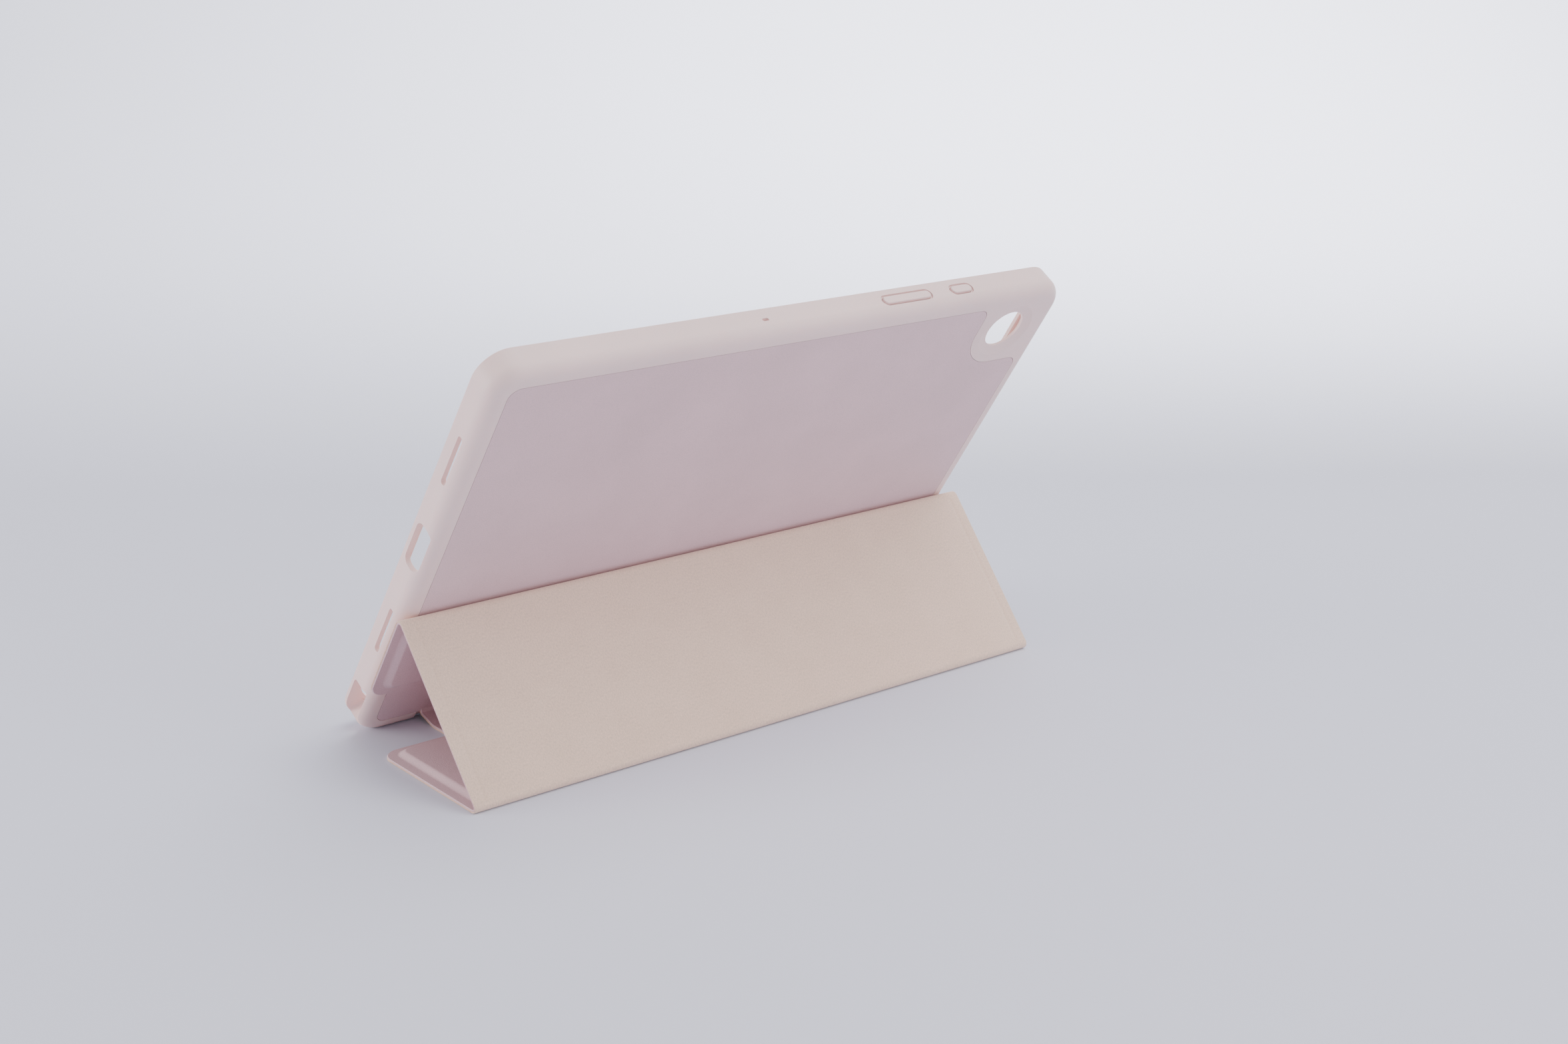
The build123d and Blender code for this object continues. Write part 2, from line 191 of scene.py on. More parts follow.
def round_corner(x, y, half_x, end, corner, side):
    """Moves grid points from the square corner of side corner at (half_x, end) onto its
    quarter disc: each point slides towards the corner's centre by max(px, py) / length(p)."""
    px = (np.abs(x) - (half_x - corner)) / corner
    py = (side * (y - end) + corner) / corner
    both = (px > 0) & (py > 0)
    scale = np.where(both, np.maximum(px, py) / np.maximum(np.hypot(px, py), 1e-9), 1.0)
    new_x = np.where(both, np.sign(x) * (half_x - corner + px * scale * corner), x)
    new_y = np.where(both, end + side * (py * scale * corner - corner), y)
    return new_x, new_y


def to_side_frame(points, pivot, angle):
    """Turns points of a panel's own frame by angle about X, and moves them to its pivot."""
    y, z = points[..., 1], points[..., 2]
    c, s = math.cos(angle), math.sin(angle)
    out = points.copy()
    out[..., 1] = pivot[0] + y * c - z * s
    out[..., 2] = pivot[1] + y * s + z * c
    return out


def sheet_mesh(name, top, bottom, running, material):
    """One closed piece from two grids of equal shape whose borders are the same points: the
    top's cells as they stand, and the bottom's cells the other way round, on the same border.
    The UV map holds metres across and metres along the cover, so that a pattern follows it."""
    rows, columns = top.shape[:2]
    index = np.arange(rows * columns).reshape(rows, columns)
    under = index.copy()
    count = (rows - 2) * (columns - 2)
    under[1:-1, 1:-1] = rows * columns + np.arange(count).reshape(rows - 2, columns - 2)
    points = np.concatenate([top.reshape(-1, 3), bottom[1:-1, 1:-1].reshape(-1, 3)])

    def cells(grid, flip):
        quads = np.stack([grid[:-1, :-1], grid[1:, :-1], grid[1:, 1:], grid[:-1, 1:]], axis=-1).reshape(-1, 4)
        return quads[:, ::-1] if flip else quads

    faces = np.concatenate([cells(index, False), cells(under, True)])
    mesh = bpy.data.meshes.new(name)
    mesh.from_pydata(points, [], faces)
    along = np.concatenate([running.ravel(), running[1:-1, 1:-1].ravel()])
    uv = np.stack([points[:, 0], along], axis=-1)[faces.ravel()]
    mesh.uv_layers.new(name="Cover").data.foreach_set("uv", uv.astype(np.float32).ravel())
    mesh.shade_smooth()
    mesh.set_sharp_from_angle(angle=math.radians(48))
    mesh.validate()
    mesh.materials.append(material)
    piece = bpy.data.objects.new(name, mesh)
    bpy.context.scene.collection.objects.link(piece)
    return piece


def panel_grid(span, rounded_start, rounded_end, fine):
    """The X and Y of a panel's grid, its corners rounded at its free ends, and how thick the
    sheet is there, from 0 at a cut edge to 1, along a quarter circle of the edge rounding."""
    s = sizes()
    across = stations(-COVER_HALF, COVER_HALF, fine, fine)
    along = stations(span[0], span[1], fine, fine)
    x, y = np.meshgrid(across, along, indexing="ij")
    if rounded_start:
        x, y = round_corner(x, y, COVER_HALF, span[0], s.cover_corner, -1)
    if rounded_end:
        x, y = round_corner(x, y, COVER_HALF, span[1], s.cover_corner, 1)
    low = span[0] if rounded_start else span[0] - 1.0
    high = span[1] if rounded_end else span[1] + 1.0
    depth = inside(x, y, COVER_HALF, low, high, s.cover_corner)
    full = np.clip(depth / s.edge_round, 0.0, 1.0)
    return x, y, np.sqrt(np.maximum(1.0 - (1.0 - full) ** 2, 0.0))


def with_ends(x, y, top, bottom, thickness):
    """Two grids of points from heights: each is drawn to the middle height by the thickness
    share, and an extra border row at the same place closes the piece there."""
    middle = (top + bottom) / 2
    upper = np.stack([x, y, middle + (top - middle) * thickness], axis=-1)
    lower = np.stack([x, y, middle + (bottom - middle) * thickness], axis=-1)
    centre = np.stack([x, y, middle], axis=-1)

    def ring(grid):
        out = np.pad(grid, ((1, 1), (1, 1), (0, 0)), mode="edge")
        border = np.pad(centre, ((1, 1), (1, 1), (0, 0)), mode="edge")
        out[0], out[-1], out[:, 0], out[:, -1] = border[0], border[-1], border[:, 0], border[:, -1]
        return out

    return ring(upper), ring(lower)


def leather_panel(name, span, pad, base, frees, place, start_run, material):
    """Leather over one board: a height field of x and y. The height is the flange's, plus the
    board's thickness times smoothstep of the distance inside the pad's outline, from
    -bevel_out to bevel_in. The underside lies one leather lower, and never under the glue."""
    s = sizes()
    x, y, edge = panel_grid(span, *frees, fine=PANEL_FINE)
    glue = base + s.lining
    half = COVER_HALF - s.flange
    depth = inside(x, y, half, pad[0] - s.leather, pad[1] + s.leather, s.board_corner + s.leather)
    rise = smooth((depth + s.bevel_out) / (s.bevel_out + s.bevel_in))
    swell = 0.06 * MM * smooth(depth / (9 * MM))
    top = glue + s.leather + s.board * rise + swell
    bottom = np.maximum(glue, top - s.leather)
    upper, lower = with_ends(x, y, top, bottom, edge)
    run = start_run + upper[..., 1]
    return sheet_mesh(name, to_side_frame(upper, *place), to_side_frame(lower, *place), run, material)


def lining_panel(name, span, pad, base, frees, place, start_run, material):
    """Microfibre under one board: a flat sheet whose outer face dips along the board's outline
    by press_depth times the bell curve exp(-(distance / 0.7 mm) squared)."""
    s = sizes()
    x, y, edge = panel_grid(span, *frees, fine=PANEL_FINE)
    depth = inside(x, y, COVER_HALF - s.flange, pad[0] - 9 * MM, pad[1] + 9 * MM, s.board_corner)
    dip = s.press_depth * np.exp(-((depth / (0.7 * MM)) ** 2))
    top = np.full_like(x, base + s.lining)
    upper, lower = with_ends(x, y, top, base + dip, edge)
    run = start_run + upper[..., 1]
    return sheet_mesh(name, to_side_frame(upper, *place), to_side_frame(lower, *place), run, material)


def bend_path(start, end, heading, turn, width, count):
    """A path from start to end whose heading goes from heading to heading + turn. The heading
    at share s is heading + turn times smoothstep((s - 0.5) / width + 0.5). The path is the sum
    of its steps, and is scaled so that it lands on end, which its symmetry allows."""
    s = np.linspace(0, 1, count)
    angle = heading + turn * smooth((s - 0.5) / width + 0.5)
    mid = (angle[1:] + angle[:-1]) / 2
    steps = np.stack([np.cos(mid), np.sin(mid)], axis=-1)
    path = np.concatenate([[[0.0, 0.0]], np.cumsum(steps, axis=0)])
    size = np.hypot(*(end - start)) / np.hypot(*path[-1])
    return start + path * size, angle


def curve_path(knots, count):
    """A smooth side path through knots: a cubic through each pair, with the slopes of the
    neighbours' chord, evaluated evenly along its length. Returns points and headings."""
    knots = np.asarray(knots, float)
    chord = np.concatenate([[0], np.cumsum(np.hypot(*np.diff(knots, axis=0).T))])
    slope = np.gradient(knots, chord, axis=0)
    t = np.linspace(0, chord[-1], 60 * len(knots))
    i = np.clip(np.searchsorted(chord, t, side="right") - 1, 0, len(chord) - 2)
    h = chord[i + 1] - chord[i]
    u = ((t - chord[i]) / h)[:, None]
    h = h[:, None]
    line = (
        (2 * u**3 - 3 * u**2 + 1) * knots[i]
        + (u**3 - 2 * u**2 + u) * h * slope[i]
        + (3 * u**2 - 2 * u**3) * knots[i + 1]
        + (u**3 - u**2) * h * slope[i + 1]
    )
    length = np.concatenate([[0], np.cumsum(np.hypot(*np.diff(line, axis=0).T))])
    even = np.linspace(0, length[-1], count)
    points = np.stack([np.interp(even, length, line[:, k]) for k in (0, 1)], axis=-1)
    step = np.gradient(points, axis=0)
    return points, np.unwrap(np.arctan2(step[:, 1], step[:, 0]))


def strip(name, path, angle, low, high, half, start_run, material):
    """A layer of sheet along a side path, between the offsets low and high square to it, from
    -half to half across: point plus offset times the normal (-sin, cos) of the heading. Its
    cut ends at -half and half are rounded as a panel's are."""
    s = sizes()
    across = stations(-half, half, 1.2 * MM, 1.2 * MM)
    full = np.clip((half - np.abs(across)) / s.edge_round, 0.0, 1.0)
    edge = np.sqrt(np.maximum(1.0 - (1.0 - full) ** 2, 0.0))[:, None]
    normal = np.stack([-np.sin(angle), np.cos(angle)], axis=-1)
    length = np.concatenate([[0], np.cumsum(np.hypot(*np.diff(path, axis=0).T))])
    low = np.broadcast_to(low, length.shape)
    high = np.broadcast_to(high, length.shape)
    middle = (low + high) / 2

    def layer(offset):
        share = middle + (offset - middle) * edge
        side = path[None] + share[..., None] * normal[None]
        x = np.broadcast_to(across[:, None], share.shape)
        return np.stack([x, side[..., 0], side[..., 1]], axis=-1)

    def ring(grid):
        out = np.pad(grid, ((1, 1), (1, 1), (0, 0)), mode="edge")
        border = np.pad(layer(middle), ((1, 1), (1, 1), (0, 0)), mode="edge")
        out[0], out[-1], out[:, 0], out[:, -1] = border[0], border[-1], border[:, 0], border[:, -1]
        return out

    run = np.pad(np.broadcast_to(start_run + length, (len(across), len(length))), 1, mode="edge")
    return sheet_mesh(name, ring(layer(high)), ring(layer(low)), run, material)


def blend_along(piece, before, after, first, last, low, high, path, angle):
    """Bakes a strip's placement into its mesh; the direction from its first to its last chosen section is
    worked out and left unused."""
    d = path[last] - path[first]
    d = d / np.hypot(*d)
    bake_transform(piece)


# ---------------------------------------------------------------- materials


def add_node(tree, kind, settings=None, links=None):
    """Adds a node, sets its properties and unlinked inputs, and links the inputs that name an
    output socket of another node."""
    node = tree.nodes.new(kind)
    for key, value in (settings or {}).items():
        if isinstance(key, str) and hasattr(node, key):
            setattr(node, key, value)
        else:
            node.inputs[key].default_value = value
    for key, socket in (links or {}).items():
        tree.links.new(socket, node.inputs[key])
    return node


def noise(tree, place, scale, detail, roughness):
    """The grey value of a noise pattern read at place, with cells about 1 / scale across."""
    settings = {"Scale": scale, "Detail": detail, "Roughness": roughness}
    return add_node(tree, "ShaderNodeTexNoise", settings, {"Vector": place}).outputs["Fac"]


def new_material(name, shader):
    """A material of that name whose Principled shader has those unlinked inputs."""
    material = bpy.data.materials.new(name)
    material.use_nodes = True
    tree = material.node_tree
    principled = tree.nodes["Principled BSDF"]
    for key, value in shader.items():
        principled.inputs[key].default_value = value
    return material, tree, principled


def colour_between(tree, factor, dark, light, low, high):
    """A two-stop ramp from dark at low to light at high, driven by factor."""
    ramp = add_node(tree, "ShaderNodeValToRGB", links={"Fac": factor})
    ramp.color_ramp.elements[0].position = low
    ramp.color_ramp.elements[0].color = (*dark, 1)
    ramp.color_ramp.elements[1].position = high
    ramp.color_ramp.elements[1].color = (*light, 1)
    return ramp.outputs["Color"]


def shade(colour, factor):
    """A colour made lighter or darker by a factor on each linear channel."""
    return tuple(min(1.0, c * factor) for c in colour)


def embossed_leather():
    """Split leather with an embossed, lacquered skin: a fine pebble grain of 0.6 mm, satin."""
    base = colours().leather
    # Matt lacquer over the grain gives a broad soft highlight; the grain's valleys get painted shade,
    # slightly darker
    material, tree, out = new_material(
        "embossed split leather",
        {"Roughness": 0.52, "IOR": 1.47, "Sheen Weight": 0.12, "Sheen Roughness": 0.5},
    )
    place = add_node(tree, "ShaderNodeTexCoord").outputs["UV"]
    # Pebbles of 0.6 mm: a scale of 1 / 0.0006, drawn at 0.75 mm so that they show
    pebble = add_node(
        tree,
        "ShaderNodeTexVoronoi",
        {"feature": "DISTANCE_TO_EDGE", "Scale": 1 / (0.75 * MM), "Randomness": 0.95},
        {"Vector": place},
    )
    groove = add_node(
        tree,
        "ShaderNodeMapRange",
        {"interpolation_type": "SMOOTHSTEP", "From Min": 0.0, "From Max": 0.22, "To Min": 0.0, "To Max": 1.0},
        {"Value": pebble.outputs["Distance"]},
    )
    pores = noise(tree, place, 1 / (0.35 * MM), 3.0, 0.6)
    cloud = noise(tree, place, 1 / (38 * MM), 4.0, 0.55)
    height = add_node(
        tree,
        "ShaderNodeMath",
        {"operation": "MULTIPLY_ADD", 1: 0.35},
        {0: pores, 2: groove.outputs["Result"]},
    )
    tint = colour_between(tree, cloud, shade(base, 0.955), shade(base, 1.035), 0.35, 0.68)
    # Painted shade: the colour is multiplied down to 0.93 in the grain's valleys, where the bump's low cells
    # lie
    painted_valley_shade = colour_between(tree, groove.outputs["Result"], (0.93, 0.93, 0.93), (1, 1, 1), 0.0, 0.8)
    mixed = add_node(
        tree, "ShaderNodeMix", {"data_type": "RGBA", "blend_type": "MULTIPLY", 0: 1.0}, {6: tint, 7: painted_valley_shade}
    )
    rough = add_node(
        tree,
        "ShaderNodeMapRange",
        {"From Min": 0.3, "From Max": 0.7, "To Min": 0.47, "To Max": 0.58},
        {"Value": pores},
    )
    bump = add_node(
        tree,
        "ShaderNodeBump",
        {"Strength": 0.35, "Distance": 0.05 * MM},
        {"Height": height.outputs["Value"]},
    )
    tree.links.new(mixed.outputs[2], out.inputs["Base Color"])
    tree.links.new(rough.outputs["Result"], out.inputs["Roughness"])
    tree.links.new(bump.outputs["Normal"], out.inputs["Normal"])
    return material


def read_in_place(material, name):
    """Names a material, and moves what it reads from the UV map to Object coordinates."""
    material.name = name
    tree = material.node_tree
    source = next(n for n in tree.nodes if n.type == "TEX_COORD")
    for link in list(source.outputs["UV"].links):
        tree.links.new(source.outputs["Object"], link.to_socket)
    return material


def inlay_leather():
    """The same embossed leather, on a flat CAD piece, read from its place in the tray."""
    return read_in_place(embossed_leather(), "embossed split leather inlay")


def brushed_microfibre():
    """Knitted microfibre with a brushed nap: speckle from lifted fibres, no gloss, a soft sheen."""
    base = colours().microfibre
    # Nap scatters light at grazing angles, so edges turned away look paler and dusty
    material, tree, out = new_material(
        "brushed microfibre",
        {
            "Roughness": 0.93,
            "IOR": 1.45,
            "Specular IOR Level": 0.25,
            "Sheen Weight": 0.35,
            "Sheen Roughness": 0.6,
        },
    )
    place = add_node(tree, "ShaderNodeTexCoord").outputs["UV"]
    # Fibres are 0.01 mm: too fine to show, so tufts are drawn at 0.55 mm, longer along the nap
    lay = (1 / (0.5 * MM), 1 / (0.8 * MM), 1.0)
    nap = add_node(tree, "ShaderNodeMapping", {"Scale": lay}, {"Vector": place})
    tuft = noise(tree, nap.outputs["Vector"], 1.0, 5.0, 0.72)
    cloud = noise(tree, place, 1 / (14 * MM), 4.0, 0.6)
    speckle = colour_between(tree, tuft, shade(base, 0.8), shade(base, 1.08), 0.32, 0.66)
    stroke = colour_between(tree, cloud, (0.965, 0.96, 0.955), (1.0, 1.0, 1.0), 0.35, 0.65)
    mixed = add_node(
        tree,
        "ShaderNodeMix",
        {"data_type": "RGBA", "blend_type": "MULTIPLY", 0: 1.0},
        {6: speckle, 7: stroke},
    )
    bump = add_node(
        tree, "ShaderNodeBump", {"Strength": 0.8, "Distance": 0.14 * MM}, {"Height": tuft}
    )
    tree.links.new(mixed.outputs[2], out.inputs["Base Color"])
    tree.links.new(bump.outputs["Normal"], out.inputs["Normal"])
    return material


def tray_microfibre():
    """The same microfibre, on a flat CAD piece, read from its place in the tray."""
    return read_in_place(brushed_microfibre(), "brushed microfibre in tray")


def moulded_shell():
    """Injection-moulded TPU from a spark-eroded mould: fine matt texture, faintly waxy depth."""
    base = colours().shell
    # A little light travels inside TPU, so thin lips and edges glow warm
    material, tree, out = new_material(
        "moulded matt TPU",
        {
            "Roughness": 0.5,
            "IOR": 1.5,
            "Subsurface Weight": 0.25,
            "Subsurface Radius": (1.0, 0.45, 0.35),
            "Subsurface Scale": 0.9 * MM,
        },
    )
    place = add_node(tree, "ShaderNodeTexCoord").outputs["Object"]
    # Spark texture is 0.05 mm in the mould, drawn at 0.35 mm so that it shows
    grit = noise(tree, place, 1 / (0.35 * MM), 4.0, 0.65)
    flow = noise(tree, place, 1 / (30 * MM), 3.0, 0.5)
    tint = colour_between(tree, flow, shade(base, 0.97), shade(base, 1.015), 0.3, 0.7)
    rough = add_node(
        tree,
        "ShaderNodeMapRange",
        {"From Min": 0.3, "From Max": 0.7, "To Min": 0.43, "To Max": 0.57},
        {"Value": grit},
    )
    bump = add_node(
        tree, "ShaderNodeBump", {"Strength": 0.12, "Distance": 0.03 * MM}, {"Height": grit}
    )
    tree.links.new(tint, out.inputs["Base Color"])
    tree.links.new(rough.outputs["Result"], out.inputs["Roughness"])
    tree.links.new(bump.outputs["Normal"], out.inputs["Normal"])
    return material


def pressed_board():
    """Glass-filled board, pressed flat: dull grey with short flecks."""
    base = colours().board
    # Flecks of fibre near the surface break up an otherwise dull face
    material, tree, out = new_material("pressed fibre board", {"Roughness": 0.8, "IOR": 1.5})
    place = add_node(tree, "ShaderNodeTexCoord").outputs["Object"]
    run = (1 / (4 * MM), 1 / (0.6 * MM), 1 / (0.6 * MM))
    stretch = add_node(tree, "ShaderNodeMapping", {"Scale": run}, {"Vector": place})
    fleck = noise(tree, stretch.outputs["Vector"], 1.0, 4.0, 0.7)
    tint = colour_between(tree, fleck, shade(base, 0.8), shade(base, 1.15), 0.35, 0.65)
    bump = add_node(
        tree, "ShaderNodeBump", {"Strength": 0.3, "Distance": 0.05 * MM}, {"Height": fleck}
    )
    tree.links.new(tint, out.inputs["Base Color"])
    tree.links.new(bump.outputs["Normal"], out.inputs["Normal"])
    return material


def plated_magnet():
    """Neodymium block with barrel-plated nickel: bright metal, slightly mottled by tumbling."""
    base = colours().magnet
    # Tumbling leaves fine dents that blur its reflections unevenly
    material, tree, out = new_material("nickel plated magnet", {"Metallic": 1.0, "Roughness": 0.3})
    out.inputs["Base Color"].default_value = (*base, 1)
    place = add_node(tree, "ShaderNodeTexCoord").outputs["Object"]
    dent = noise(tree, place, 1 / (0.8 * MM), 3.0, 0.6)
    rough = add_node(
        tree,
        "ShaderNodeMapRange",
        {"From Min": 0.3, "From Max": 0.7, "To Min": 0.22, "To Max": 0.38},
        {"Value": dent},
    )
    bump = add_node(
        tree, "ShaderNodeBump", {"Strength": 0.15, "Distance": 0.03 * MM}, {"Height": dent}
    )
    tree.links.new(rough.outputs["Result"], out.inputs["Roughness"])
    tree.links.new(bump.outputs["Normal"], out.inputs["Normal"])
    return material


def shared(maker):
    """The material that maker makes, made once and then found again by its function's name."""
    key = "made_by"
    for material in bpy.data.materials:
        if material.get(key) == maker.__name__:
            return material
    material = maker()
    material[key] = maker.__name__
    return material


def finish_node(node, maker):
    """Gives a CAD node's object one material in place of its own."""
    piece = frame["nodes"][node]
    piece.data.materials.clear()
    piece.data.materials.append(shared(maker))


# ---------------------------------------------------------------- layout of the cover

BASE_PLACE = (np.array([0.0, 0.0]), 0.0)
PROP_PLACE = (REAR, PROP_ANGLE)
REST_PLACE = (RIDGE, REST_ANGLE)
SPINE_RUN = 24.0 * MM  # cover's length from the tray's seam to the base panel
BASE_RUN = SPINE_RUN - (SPINE_BOTTOM[0] + 0.7 * MM)
PROP_RUN = BASE_RUN + REAR[0]
REST_RUN = PROP_RUN + PROP_LENGTH

PANELS = {
    "base_panel": {
        "span": (SPINE_BOTTOM[0] + 0.7 * MM, REAR[0] - FOLD_TRIM),
        "pad": (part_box("base_panel_board")[0].y, REAR[0] - FOLD_FLANGE),
        "base": 0.0,
        "frees": (True, False),
        "place": BASE_PLACE,
        "start_run": BASE_RUN,
    },
    "prop_panel": {
        "span": (FOLD_TRIM, PROP_LENGTH - FOLD_TRIM),
        "pad": (FOLD_FLANGE, PROP_LENGTH - FOLD_FLANGE),
        "base": -PIVOT_ABOVE,
        "frees": (False, False),
        "place": PROP_PLACE,
        "start_run": PROP_RUN,
    },
    "rest_panel": {
        "span": (FOLD_TRIM, REST_LENGTH),
        "pad": (FOLD_FLANGE, REST_LENGTH - 4.8 * MM),
        "base": -PIVOT_ABOVE,
        "frees": (False, True),
        "place": REST_PLACE,
        "start_run": REST_RUN,
    },
}

# Middle line of the spine's sheet, as (mm behind the foot line of the tray's back, mm above the
# floor): down just under the inlay's face, round the rim, and a long soft sag to the floor
SPINE_KNOTS = (
    (6.290, 9.388),
    (5.236, 7.688),
    (4.460, 6.440),
    (4.022, 5.740),
    (3.659, 4.745),
    (3.723, 3.688),
    (4.020, 3.080),
    (4.750, 2.700),
    (6.000, 2.330),
    (7.500, 1.900),
    (9.700, 1.200),
    (11.900, 0.700),
    (13.800, 0.600),
    (16.500, 0.600),
    (19.500, 0.600),
    (22.503, 0.600),
)


class TABLETCASE_OT_tray(bpy.types.Operator):
    """Gives the moulded tray, its inlay, its lining and its board their finishes"""

    bl_idname = "tabletcase.tray"
    bl_label = "Finish the tray"

    def execute(self, context):
        for node, maker in (
            ("tray_frame", moulded_shell),
            ("back_leather_inlay", inlay_leather),
            ("tray_lining", tray_microfibre),
            ("back_board", pressed_board),
        ):
            finish_node(node, maker)
        return {"FINISHED"}


class TABLETCASE_OT_keys(bpy.types.Operator):
    """Gives the two key covers the tray's finish"""

    bl_idname = "tabletcase.keys"
    bl_label = "Finish the key covers"

    def execute(self, context):
        for node in ("volume_key_cover", "power_key_cover"):
            finish_node(node, moulded_shell)
        return {"FINISHED"}


class TABLETCASE_OT_stiffeners(bpy.types.Operator):
    """Gives the boards and magnets inside the cover their finishes"""

    bl_idname = "tabletcase.stiffeners"
    bl_label = "Finish the boards and magnets"

    def execute(self, context):
        for panel in PANELS:
            finish_node(panel + "_board", pressed_board)
        finish_node("cover_magnets", plated_magnet)
        return {"FINISHED"}


class TABLETCASE_OT_linings(bpy.types.Operator):
    """Makes the microfibre of the three panels"""

    bl_idname = "tabletcase.linings"
    bl_label = "Make the panel linings"

    def execute(self, context):
        for name, shape in PANELS.items():
            piece = lining_panel(name + "_microfibre", material=shared(brushed_microfibre), **shape)
            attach(piece, name)
            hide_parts(name + "_lining")
        return {"FINISHED"}


class TABLETCASE_OT_leathers(bpy.types.Operator):
    """Makes the leather of the three panels"""

    bl_idname = "tabletcase.leathers"
    bl_label = "Make the panel leathers"

    def execute(self, context):
        for name, shape in PANELS.items():
            piece = leather_panel(name + "_skin", material=shared(embossed_leather), **shape)
            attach(piece, name)
            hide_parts(name + "_leather")
        return {"FINISHED"}


class TABLETCASE_OT_folds(bpy.types.Operator):
    """Makes the leather and microfibre that bend at the rear fold and at the ridge"""

    bl_idname = "tabletcase.folds"
    bl_label = "Make the fold strips"

    def execute(self, context):
        s = sizes()
        sheet = s.leather + s.lining
        middle = sheet / 2 - PIVOT_ABOVE
        for name, pivot, heading, turn, bodies, run in (
            ("rear_fold", REAR, 0.0, PROP_ANGLE, ("base_panel", "prop_panel"), PROP_RUN),
            (
                "ridge_fold",
                RIDGE,
                PROP_ANGLE,
                REST_ANGLE - PROP_ANGLE,
                ("prop_panel", "rest_panel"),
                REST_RUN,
            ),
        ):
            ends = []
            for angle, along in ((heading, -FOLD_TRIM), (heading + turn, FOLD_TRIM)):
                c, n = math.cos(angle), math.sin(angle)
                ends.append(pivot + np.array([along * c - middle * n, along * n + middle * c]))
            path, angle = bend_path(ends[0], ends[1], heading, turn, 0.8, FOLD_SAMPLES)
            layers = (
                ("_skin", s.lining - sheet / 2, sheet / 2, embossed_leather, "leather"),
                ("_microfibre", -sheet / 2, s.lining - sheet / 2, brushed_microfibre, "microfibre"),
            )
            for suffix, low, high, maker, slot in layers:
                start_run = run - FOLD_TRIM
                piece = strip(
                    name + suffix, path, angle, low, high, COVER_HALF, start_run, shared(maker)
                )
                blend_along(piece, *bodies, 0, -1, -sheet / 2, sheet / 2, path, angle)
                if suffix == "_skin":
                    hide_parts(name)
        return {"FINISHED"}


class TABLETCASE_OT_spine(bpy.types.Operator):
    """Makes the spine: leather and microfibre from the tray's inlay down to the base panel"""

    bl_idname = "tabletcase.spine"
    bl_label = "Make the spine"

    def execute(self, context):
        s = sizes()
        sheet = s.leather + s.lining
        knots = np.array(SPINE_KNOTS) * MM + np.array([TRAY_FOOT[0], 0.0])
        path, angle = curve_path(knots, SPINE_SAMPLES)
        length = np.concatenate([[0], np.cumsum(np.hypot(*np.diff(path, axis=0).T))])
        along = path[:, 0]
        low_part = np.arange(len(path)) > int(np.argmin(along))

        def at(y):
            return int(np.argmin(np.where(low_part, np.abs(along - y), 1.0)))

        first_cut = at((SPINE_TOP[0] + SPINE_MIDDLE[0]) / 2 + TOP_CUT_PAST)
        second_cut = at((SPINE_MIDDLE[0] + SPINE_BOTTOM[0]) / 2)
        cuts = [0, first_cut, second_cut, len(path) - 1]
        lining_from = int(np.argmin(along)) + 2
        bodies = ("tray", "spine_upper", "spine_lower", "base_panel")
        names = ("top", "middle", "bottom")
        run0 = BASE_RUN + path[-1][0] - length[-1]
        for i, name in enumerate(names):
            a, b = cuts[i], cuts[i + 1] + 1
            for suffix, low, high, maker, slot in (
                ("_skin", s.lining - sheet / 2, sheet / 2, embossed_leather, "leather"),
                ("_microfibre", -sheet / 2, s.lining - sheet / 2, brushed_microfibre, "microfibre"),
            ):
                first = lining_from if suffix == "_microfibre" and i == 0 else a
                part, turn = path[first:b], angle[first:b]
                start_run = run0 + length[first]
                piece = strip(
                    "spine_" + name + suffix, part, turn, low, high, SPINE_HALF, start_run, shared(maker)
                )
                pivot = PIVOTS[f"spine_{name}_fold"]
                hinge = a + int(np.argmin(np.hypot(*(path[a:b] - pivot).T)))
                p0, p1 = max(a, hinge - HINGE_REACH), min(b - 1, hinge + HINGE_REACH)
                blend_along(piece, bodies[i], bodies[i + 1], p0, p1, -sheet / 2, sheet / 2, path, angle)
                if i < 2:
                    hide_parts(bodies[i + 1] + ("_leather" if suffix == "_skin" else "_lining"))
                flat_length = float(length[b - 1] - length[first])
                if flat_length >= SHORTEST_SHEET:
                    piece["own_sheet"] = True
        return {"FINISHED"}


class TABLETCASE_OT_stage(bpy.types.Operator):
    """Makes the seamless floor, the soft lights and the camera"""

    bl_idname = "tabletcase.stage"
    bl_label = "Make the studio"

    def execute(self, context):
        scene = context.scene
        make_sweep()
        make_lights()
        make_camera(scene)
        return {"FINISHED"}


def seamless_paper():
    """Matt photographic paper: an even pale grey-blue with a faint tooth."""
    base = colours().floor
    # Uncoated paper has no gloss, only the softest unevenness of tone
    material, tree, out = new_material("matt background paper", {"Roughness": 0.9, "Specular IOR Level": 0.2})
    place = add_node(tree, "ShaderNodeTexCoord").outputs["Object"]
    tone = add_node(tree, "ShaderNodeTexNoise", {"Scale": 1 / (300 * MM), "Detail": 2.0}, {"Vector": place})
    tint = colour_between(tree, tone.outputs["Fac"], shade(base, 0.985), shade(base, 1.0), 0.35, 0.65)
    tree.links.new(tint, out.inputs["Base Color"])
    return material


